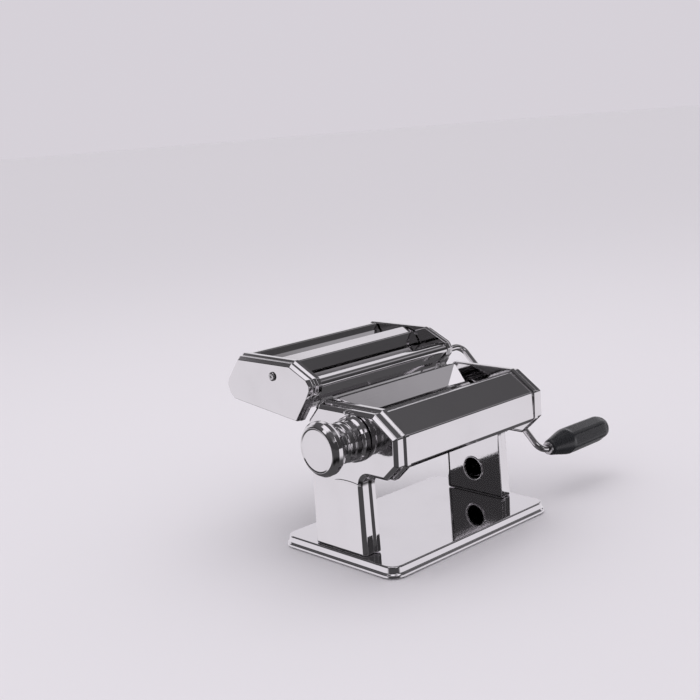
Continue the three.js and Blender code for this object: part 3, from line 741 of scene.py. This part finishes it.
def roller_profile(radius, half, shaft, left_end, right_end):
    """Shaft, rounded shoulder and barrel as (x, radius)."""
    return rounded_line([
        (left_end, 0), (left_end, shaft - 0.4), (left_end + 0.4, shaft), (-half, shaft), (-half, radius),
        (half, radius), (half, shaft), (right_end - 0.4, shaft), (right_end, shaft - 0.4), (right_end, 0),
    ], [0, 0, 0, 0.9, 0.9, 0, 0, 0], 5)


roller_steel = polished("roller_steel", (0.66, 0.65, 0.66), 0.13, 0.10, 0.22, 0.1, (1500.0, 40.0, 40.0))
for name, centre, body in (("fixed_roller", fixed_axis, "fixed_roller_body"),
                           ("adjustable_roller", adjust_axis, "adjustable_roller_body")):
    barrel = roller_profile(roller_radius, roller_half, roller_shaft, -79, shaft_end)
    build(f"smooth_{name}", spun(barrel, (0, *centre), 0, 96), roller_steel, body, [name])


def refinish(node, material):
    """Gives a carried-over CAD node a better material."""
    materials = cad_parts[node].data.materials
    materials.clear()
    materials.append(material)


gear_steel = polished("gear_steel", (0.50, 0.49, 0.49), 0.30, 0.20, 0.15, 0.2)
bush_brass = polished("bush_brass", (0.72, 0.52, 0.24), 0.28, 0.20, 0.10, 0.2)
for gear in ("fixed_gear", "adjustable_gear"):
    refinish(gear, gear_steel)
for bush in ("roller_bush_left", "roller_bush_right"):
    refinish(bush, bush_brass)

# ------------------------------
# Roller covers: folded chromed sheet hooked between the housings. The front one slopes back over the
# adjustable roller with its top edge turned down in a hem; the rear one is a plain upright strip.

front_cover_line = [(-45.8, 121.4), (-47.8, 125.6), (-70.4, 110), (-70.6, 87.6), (-66.4, 83.6)]
rear_cover_line = [(29.2, 82), (29.4, 111), (23.6, 117.3)]


def strip_outline(line, radii, thickness, steps=6):
    """The outline of a bent strip: its outer line, then the same line moved in by the thickness."""
    outer = rounded_line(line, radii, steps)
    ahead = np.gradient(outer, axis=0)
    ahead /= np.linalg.norm(ahead, axis=1, keepdims=True)
    inner = outer + np.column_stack([-ahead[:, 1], ahead[:, 0]]) * thickness
    return np.concatenate([outer, inner[::-1]])


cover_chrome = polished("cover_chrome", chrome, 0.05, 0.07, 0.03, 0.45)
build("front_cover_sheet", bar(strip_outline(front_cover_line, [1.5, 1.8, 1.4], sheet), cover_end),
      cover_chrome, "frame", ["front_cover"], 0.2)
build("rear_cover_sheet", bar(strip_outline(rear_cover_line, [1.6], sheet), cover_end), cover_chrome,
      "frame", ["rear_cover"], 0.2)

# ------------------------------
# Feed plate: a chromed ramp that leads the dough down to the rollers, turned over at the top, with a
# three-cornered ear folded forward at each end as a guide.

ramp_top = (10.6, 128.0)
ramp_foot = (-1.6, 113.4)


def panel(corners, radii, thickness):
    """A flat plate with rounded corners, its other face moved along the corners' common normal."""
    p = np.asarray(corners, float)
    normal = np.cross(p[1] - p[0], p[2] - p[0])
    normal *= -np.sign(normal[2]) / np.linalg.norm(normal)
    outline = rounded_loop(p, radii)
    return skin([outline + normal * thickness, outline], flat=(0, 1))


def feed_ramp():
    """The ramp narrows towards its foot. Each ear fills the corner between its edge and a point ahead."""
    (y1, z1), (y0, z0) = ramp_top, ramp_foot
    ramp = panel([(-70, y1, z1), (-47, y0, z0), (47, y0, z0), (70, y1, z1)], [0.4, 1, 1, 0.4], sheet)
    lip = panel([(-70, y1 - 0.5, z1), (70, y1 - 0.5, z1), (70, y1 + 2.6, z1 - 0.6),
                 (-70, y1 + 2.6, z1 - 0.6)], [0.2, 0.2, 0.8, 0.8], sheet)
    ears = [panel([(s * 70, y1 + 0.2, z1), (s * 46.4, y0 + 0.2, z0), (s * 60.5, -9.1, 115.5)],
                  [0.8, 0.8, 0.8], sheet) for s in (-1, 1)]
    return joined(ramp, lip, *ears)


build("feed_ramp", feed_ramp(), cover_chrome, "frame", ["feed_plate"], 0.2)

# ------------------------------
# Drive socket: a turned ring pressed round the hole where the crank plugs into the fixed roller.

fastener_steel = polished("fastener_steel", (0.60, 0.59, 0.60), 0.20, 0.15, 0.10, 0.2)
dial_chrome = polished("dial_chrome", chrome, 0.06, 0.10, 0.08, 0.1, (900.0, 60.0, 60.0))


def socket_ring(start, bore, outer, height):
    """A low ring with a rounded outer edge, as (x, radius), closed on itself."""
    return rounded_line([(start, (bore + outer) / 2), (start, outer), (start + height, outer),
                         (start + height, bore), (start, bore), (start, (bore + outer) / 2)],
                        [0.2, 0.8, 0.3, 0.2], 5)[:-1]


drive_face = housing_face_x(fixed_axis[1] - 9)
build("drive_socket", spun(socket_ring(drive_face + 0.4, 5.2, 9.0, 2.0), (0, *fixed_axis), 0, 64),
      dial_chrome, "frame", ["drive_socket_ring"])

# ------------------------------
# Thickness dial: a turned chromed knob on a steel spindle. It is pulled out against a spring, turned and
# let back in; a wide ring behind it is fixed to the housing, and a nib above marks the setting.

boss_end = 96.0
knob_end = 128.4
boss_start = housing_face_x(adjust_axis[1] - 18) + 0.4

ring_profile = rounded_line([
    (-boss_start, 12), (-boss_start, 18.6), (-boss_start - 1.2, 18.6), (-boss_start - 4.4, 18.1),
    (-boss_end, 17.0), (-boss_end, 6), (-boss_start, 6), (-boss_start, 12),
], [0.3, 0.6, 3.0, 0.9, 0.3, 0.1], 6, 0.04)[:-1]
build("dial_base_ring", spun(ring_profile, (0, *adjust_axis), 0, 96), dial_chrome, "frame",
      ["dial_ring"])

spindle = [(-knob_end + 11.4, 0), (-knob_end + 11.4, 4.6), (-knob_end + 11.8, 5), (-80.6, 5), (-80.2, 4.6),
           (-80.2, 0)]
build("dial_spindle_bar", spun(spindle, (0, *adjust_axis), 0, 40), fastener_steel, "dial_spindle_body",
      ["dial_spindle"])


def tube(path, across, radius, segments=16):
    """A round section carried along a path: radius times cos along one unit vector across the path, and
    times sin along its cross product with the tangent. The radius may change along the path."""
    path = np.asarray(path, float)
    tangent = np.gradient(path, axis=0)
    tangent /= np.linalg.norm(tangent, axis=1, keepdims=True)
    across = np.broadcast_to(np.asarray(across, float), path.shape)
    other = np.cross(tangent, across)
    other /= np.linalg.norm(other, axis=1, keepdims=True)
    angle = 2 * math.pi * np.arange(segments) / segments
    radius = np.broadcast_to(np.asarray(radius, float), (len(path),))[:, None, None]
    loops = path[:, None] + radius * (np.cos(angle)[None, :, None] * across[:, None]
                                      + np.sin(angle)[None, :, None] * other[:, None])
    return skin(loops)


def spring_coil(start, end, coil_radius, wire, turns):
    """A helix about the dial's axis: the angle grows evenly as x goes from start to end."""
    turn = np.linspace(0, 2 * math.pi * turns, 20 * turns + 1)
    round_axis = np.column_stack([np.zeros_like(turn), np.cos(turn), np.sin(turn)])
    path = np.column_stack([np.linspace(start, end, len(turn)), np.zeros((len(turn), 2))])
    return tube(path + coil_radius * round_axis + (0, *adjust_axis), round_axis, wire, 8)


build("dial_return_spring", spring_coil(-boss_end - 12.6, -boss_end - 1.8, 7.2, 0.75, 6), fastener_steel,
      "dial_spindle_body", ["dial_spring"])

# The knob's (reach beyond the base ring, radius): hub, grooved neck, then the wide disc with its rim.
knob_shape = [
    (0.4, 12), (0.4, 16.6), (5.2, 16.4), (5.7, 15.4), (6.6, 15.4), (7.1, 16.2), (11.2, 16.0), (12.2, 14.4),
    (16.4, 14.4), (19.0, 18.6), (22.4, 20.6), (24.6, 21.4), (28.2, 21.4), (30.6, 19.9), (31.9, 18.4),
    (32.4, 17.4), (31.9, 16.0), (31.9, 0),
]
knob_radii = [0.4, 0.7, 0.3, 0.3, 0.5, 0.9, 0.8, 1.4, 1.6, 1.0, 0.9, 0.9, 1.2, 0.6, 0.5, 0.5, 0]
knob_outer = rounded_line(knob_shape, knob_radii, 5, 0.03)
knob_bore = np.array([(21.6, 0), (21.6, 5.4), (14, 5.4), (14, 8.8), (0.4, 8.8), (0.4, 12)])
knob_profile = np.concatenate([knob_bore, knob_outer[1:]]) * (-1, 1) - (boss_end, 0)
build("dial_knob_turned", spun(knob_profile, (0, *adjust_axis), 0, 128), dial_chrome, "dial_knob_body",
      ["dial_knob"])

nib_x = housing_face_x(120)
build("setting_nib", spun([(-nib_x - 5.4, 0), (-nib_x - 5.4, 1.0), (-nib_x - 5.0, 1.45),
                           (-nib_x - 4.4, 1.6), (-nib_x - 0.4, 1.6), (-nib_x - 0.4, 0)],
                          (0, adjust_axis[0] + 4, adjust_axis[1] + 20.6), 0, 24),
      fastener_steel, "frame", ["index_pin"])

# ------------------------------
# Cutter caps: a pressed chromed shell closes each end of the slide-on cutter unit, made like the
# housings but shallower, with a chromed plate behind it that carries the cutting rollers.

cap_rim = [(47.4, 105.2), (128, 113.8), (135.4, 119.4), (138, 127.6), (135.8, 135), (117.6, 156),
           (50, 156), (25, 143.8), (21.9, 138.6), (23.6, 132), (31.8, 126.2)]
cap_face = [(45.8, 107.4), (126, 116.6), (131, 120.6), (133.4, 127.8), (131.2, 133.6), (116.2, 151.4),
            (49.2, 151.8), (30, 143), (26.6, 138.4), (27, 134), (31, 127.4)]
cap_radii = [2, 4, 3, 3, 3, 4, 5, 3, 2, 2, 3]
cap_face_x = 86.0
narrow_axis = (46.6, 130.4)
wide_axis = (87.6, 130.4)
pair_pitch = 18.9
cutter_shaft = 4.0
cutter_tie = (71.0, 141.8)
cutter_axes = {
    "narrow_front": narrow_axis, "narrow_back": (narrow_axis[0] + pair_pitch, narrow_axis[1]),
    "wide_front": wide_axis, "wide_back": (wide_axis[0] + pair_pitch, wide_axis[1]),
}

cap_openings = {"left": [(cutter_tie, 2.4)],
                "right": [(cutter_tie, 2.4), (narrow_axis, 5.0), (wide_axis, 5.0)]}
cutter_plate_holes = [circle(axis, cutter_shaft + 0.5, 0, 32)[:, 1:] for axis in cutter_axes.values()]
cutter_plate_holes.append(circle(cutter_tie, tie_hole, 0, 24)[:, 1:])
cutter_plate = flat_plate(plate_outline(cap_rim, cap_radii), cutter_plate_holes)
for side, turn_over in sides:
    cap = pressed_shell(cap_rim, cap_face, cap_radii, lambda z: np.full(np.shape(z), cap_face_x),
                        cap_face_x, cap_openings[side])
    build(f"pressed_cap_{side}", turn_over(cap), housing_chrome, "cutter_unit",
          [f"cutter_cap_{side}"])
    build(f"cutter_end_plate_{side}", turn_over(cutter_plate), plate_chrome, "cutter_unit",
          [f"cutter_plate_{side}"])

# ------------------------------
# Cap screws: a plated round head with a cross recess at each end holds the caps to the unit's tie rod.

screw_under = cap_face_x + 0.4


def screw():
    """A domed head as shrinking circles, pierced by a cross, over a shank that closes the recess."""
    dome = [(0.0, 3.6), (0.1, 3.8), (0.5, 3.8), (0.8, 3.65), (1.1, 3.35), (1.35, 2.85), (1.5, 2.3)]
    loops = [circle(cutter_tie, radius, screw_under + rise, 48) for rise, radius in dome]
    arm, half = 1.7, 0.38
    quarter = np.array([(arm, -half), (arm, half), (half, half)])
    turns = [np.array([(math.cos(t), math.sin(t)), (-math.sin(t), math.cos(t))])
             for t in np.arange(4) * math.pi / 2 + 0.5]
    cross = np.concatenate([quarter @ turn for turn in turns]) + cutter_tie
    recess = [np.column_stack([np.full(len(cross), screw_under + rise), cross]) for rise in (0.0, 1.5)]
    shank = spun([(78.4, 0), (78.4, 1.8), (screw_under - 0.3, 1.8), (screw_under - 0.3, 2.3),
                  (screw_under + 0.25, 2.3), (screw_under + 0.25, 0)], (0, *cutter_tie), 0, 32)
    return joined(skin(loops, [recess]), shank)


for side, turn_over in sides:
    build(f"cap_screw_{side}", turn_over(screw()), fastener_steel, "cutter_unit",
          [f"cutter_screw_{side}"])
build("cutter_tie_bar", rod_between(78.0, 2.8, cutter_tie), inner_steel, "cutter_unit",
      ["cutter_tie_rod"])

# ------------------------------
# Cutter covers: thin chromed sheet between the caps. The front one curls round into a nose over the
# feed ramp, the ridge roofs the gap between the two pairs, and the rear one wraps the back.

cutter_sheet = 0.8
nose_centre = np.array([28.0, 137.2])
nose_radius = 5.2
nose_turn = np.radians(np.linspace(95, 197, 15))
nose = nose_centre + nose_radius * np.column_stack([np.cos(nose_turn), np.sin(nose_turn)])
cutter_front_line = np.concatenate([[(49.6, 141.2)], nose, [(33.4, 126.6), (36.6, 121.4), (42.6, 117.8)]])
cutter_front_radii = [0] * 15 + [1.2, 2.4]
ridge_line = [(90.2, 142), (82, 151.4), (75, 154.6), (62.8, 151.2), (57.2, 141.6)]
cutter_rear_line = [(112, 113.4), (127.2, 115), (134, 120.2), (136.6, 127.8), (134.6, 134.4),
                    (117, 154.9), (110.6, 155.4), (107.8, 149.6), (101.4, 142)]

for name, line, radii in (
        ("cutter_front", cutter_front_line, cutter_front_radii),
        ("cutter_ridge", ridge_line, [2.0, 2.4, 2.0]),
        ("cutter_rear", cutter_rear_line, [3, 3, 3, 3, 2.4, 2, 2])):
    build(f"{name}_sheet", bar(strip_outline(line, radii, cutter_sheet), cover_end), cover_chrome,
          "cutter_unit", [f"{name}_cover"], 0.15)

# ------------------------------
# Cutting rollers: steel rollers turned into rings that mesh with their partner's, narrow for thin
# ribbons and broad for wide ones. Toothed combs below keep the ribbons out of the grooves.

cutter_half = 73.0
ring_radius = 9.75
groove_radius = 8.7
pitches = {"narrow": 3.2, "wide": 13.0}
ring_share = 0.46       # of a pitch, so a ring enters its partner's groove with room on both sides


def ringed_profile(pitch, shift):
    """Rings and grooves of equal width, as (x, radius): the radius steps between two values, with a
    small ease on each ring's edges. shift moves the rings by half a pitch for the partner."""
    count = int(2 * (cutter_half - 2) / pitch)
    start = -count * pitch / 2 + shift * pitch / 2
    profile = [(-79, 0), (-79, cutter_shaft), (-cutter_half, cutter_shaft), (-cutter_half, groove_radius)]
    ease = 0.12
    for number in range(count):
        left = start + number * pitch
        right = left + pitch * ring_share
        profile += [(left, groove_radius), (left, ring_radius - ease), (left + ease, ring_radius),
                    (right - ease, ring_radius), (right, ring_radius - ease), (right, groove_radius)]
    return profile + [(cutter_half, groove_radius), (cutter_half, cutter_shaft),
                      (shaft_end, cutter_shaft), (shaft_end, 0)]


cutter_steel = polished("cutter_steel", (0.62, 0.61, 0.62), 0.20, 0.14, 0.15, 0.1, (1200.0, 60.0, 60.0))
for name, centre in cutter_axes.items():
    pair, place_in_pair = name.split("_")
    rings = ringed_profile(pitches[pair], 0 if place_in_pair == "front" else 1)
    build(f"{name}_ringed_roller", spun(rings, (0, *centre), 0, 48), cutter_steel, name,
          [f"{name}_cutter"])
    refinish(f"{name}_gear", gear_steel)


box_faces = [[0, 1, 3, 2], [4, 6, 7, 5], [0, 4, 5, 1], [2, 3, 7, 6], [0, 2, 6, 4], [1, 5, 7, 3]]


def comb(axis, pitch):
    """A flat strip under the nip with a row of square teeth along each long edge, one tooth to a ring."""
    middle = axis[0] + pair_pitch / 2
    top = axis[1] - 9.2
    pieces = [bar([(middle - 7.6, top - 7.4), (middle + 7.6, top - 7.4), (middle + 7.6, top - 5.9),
                   (middle - 7.6, top - 5.9)], cover_end)]
    for tooth in np.arange(-cover_end + pitch / 2, cover_end - pitch / 2, pitch):
        for edge in (middle - 7.6, middle + 5.6):
            corners = [(x, y, z) for x in (tooth - pitch / 4, tooth + pitch / 4)
                       for y in (edge, edge + 2.0) for z in (top - 6.0, top - 3.5)]
            pieces.append(turned_out(np.array(corners), box_faces))
    return joined(*pieces)


for pair, pitch in pitches.items():
    build(f"{pair}_slotted_comb", comb(cutter_axes[f"{pair}_front"], pitch), inner_steel, "cutter_unit",
          [f"{pair}_comb"])

# ------------------------------
# Socket rings, rails and hooks: a ring round each of the two crank holes in the right cap, and folded
# steel hooks that slide down over T-shaped rails on the back of the head.

cap_socket = socket_ring(cap_face_x + 0.4, 4.6, 8.0, 1.8)
for pair in pitches:
    build(f"{pair}_socket", spun(cap_socket, (0, *cutter_axes[f"{pair}_front"]), 0, 64), dial_chrome,
          "cutter_unit", [f"{pair}_socket_ring"])
for node in ("slide_rail_left", "slide_rail_right", "cutter_hook_left", "cutter_hook_right"):
    refinish(node, inner_steel)

# ------------------------------
# Crank: one chromed steel rod with two quarter bends, plugged into the socket of the narrow cutter,
# with a steel washer at the foot of the grip.

rod_radius = 3.1
arm_x = 120.0
arm_length = 124.0
arm_angle = math.radians(225)
crank_bend = 9.0
crank_start = 83.6
grip_start = 131.0
grip_end = 214.0
arm_way = np.array([math.cos(arm_angle), math.sin(arm_angle)])
grip_axis = np.array(narrow_axis) + arm_length * arm_way


def crank_path():
    """The centre line as (x, reach along the arm), with the two bends as quarter circles."""
    flat = rounded_line([(crank_start + 0.01, 0), (arm_x, 0), (arm_x, arm_length),
                         (grip_end - 9, arm_length)], [crank_bend, crank_bend], 14, 0.5)
    return np.column_stack([flat[:, 0], np.array(narrow_axis) + flat[:, 1:] * arm_way])


crank_chrome = polished("crank_chrome", chrome, 0.07, 0.10, 0.06, 0.1)
crank_line = crank_path()
crank_ends = np.array([0.2, 0.7, 1.2])
crank_line = np.concatenate([[crank_line[0]], crank_line[0] + np.outer(crank_ends, (1, 0, 0)),
                             crank_line[1:]])
crank_radius = np.full(len(crank_line), rod_radius)
crank_radius[:3] = (2.2, 2.6, 3.0)
build("crank_bent_rod", tube(crank_line, (0, -arm_way[1], arm_way[0]), crank_radius, 32), crank_chrome,
      "crank", ["crank_rod"])
build("grip_foot_washer", spun([(grip_start - 2, 4.5), (grip_start - 2, 5.2), (grip_start - 1.7, 5.6),
                                (grip_start - 0.8, 5.6), (grip_start - 0.4, 5.2), (grip_start - 0.4, 3.5),
                                (grip_start - 2, 3.5)], (0, *grip_axis), 0, 40),
      fastener_steel, "crank", ["grip_washer"])

# ------------------------------
# Grip: a moulded black handle that spins on the end of the rod. It swells from a narrow neck to a
# shoulder, has six long flats pressed into its body and ends in a blunt dome.

grip_length = grip_end - grip_start
grip_waist = [(0, 3.5), (0, 5.0), (0.008, 6.0), (0.022, 7.0), (0.10, 8.4), (0.24, 11.2), (0.29, 12.0),
              (0.42, 12.0), (0.88, 11.7), (0.95, 10.2), (0.985, 7.4), (1, 3.6), (1, 0)]
grip_flats = 6
flat_reach = 0.915      # distance of a flat from the axis, as a share of the radius
flat_turn = math.radians(12)
shoulder = (0.28, 0.33)
fade_out = (0.90, 0.97)


def moulded_grip():
    """A lathe shape with flats pressed into it: the radius is the smaller of the round one and the reach
    of the flat over the cosine of the angle from its middle, faded in at a shoulder and out at the end."""
    waist = np.array(grip_waist, float)
    share = np.concatenate([waist[:4, 0], np.linspace(0.03, 0.88, 60), np.linspace(0.895, 0.998, 16)])
    radius = np.interp(share, waist[:12, 0], waist[:12, 1])
    for _ in range(5):
        radius[5:-1] = 0.25 * radius[4:-2] + 0.5 * radius[5:-1] + 0.25 * radius[6:]
    points, faces = spun(np.concatenate([
        [(grip_end - 8, 0), (grip_end - 8, 3.5)],
        np.column_stack([grip_start + grip_length * share, radius]), [(grip_end, 0)]]),
        (0, *grip_axis), 0, 144)
    off = points[:, 1:] - grip_axis
    along = (points[:, 0] - grip_start) / grip_length
    fade = (np.clip((along - shoulder[0]) / (shoulder[1] - shoulder[0]), 0, 1)
            * np.clip((fade_out[1] - along) / (fade_out[1] - fade_out[0]), 0, 1))
    fade = fade * fade * (3 - 2 * fade) * (np.linalg.norm(off, axis=1) > 5)
    step = 2 * math.pi / grip_flats
    angle = np.arctan2(off[:, 1], off[:, 0]) + flat_turn
    away = (angle + step / 2) % step - step / 2
    flat = np.minimum(1.0, flat_reach / np.cos(away))
    points[:, 1:] = grip_axis + off * (1 + fade * (flat - 1))[:, None]
    return points, faces


grip_black = mottled("grip_black", (0.015, 0.016, 0.018), (0.021, 0.022, 0.025), 0.27, 900.0, 0.0002)
build("crank_grip_moulded", moulded_grip(), grip_black, "grip", ["crank_grip"])
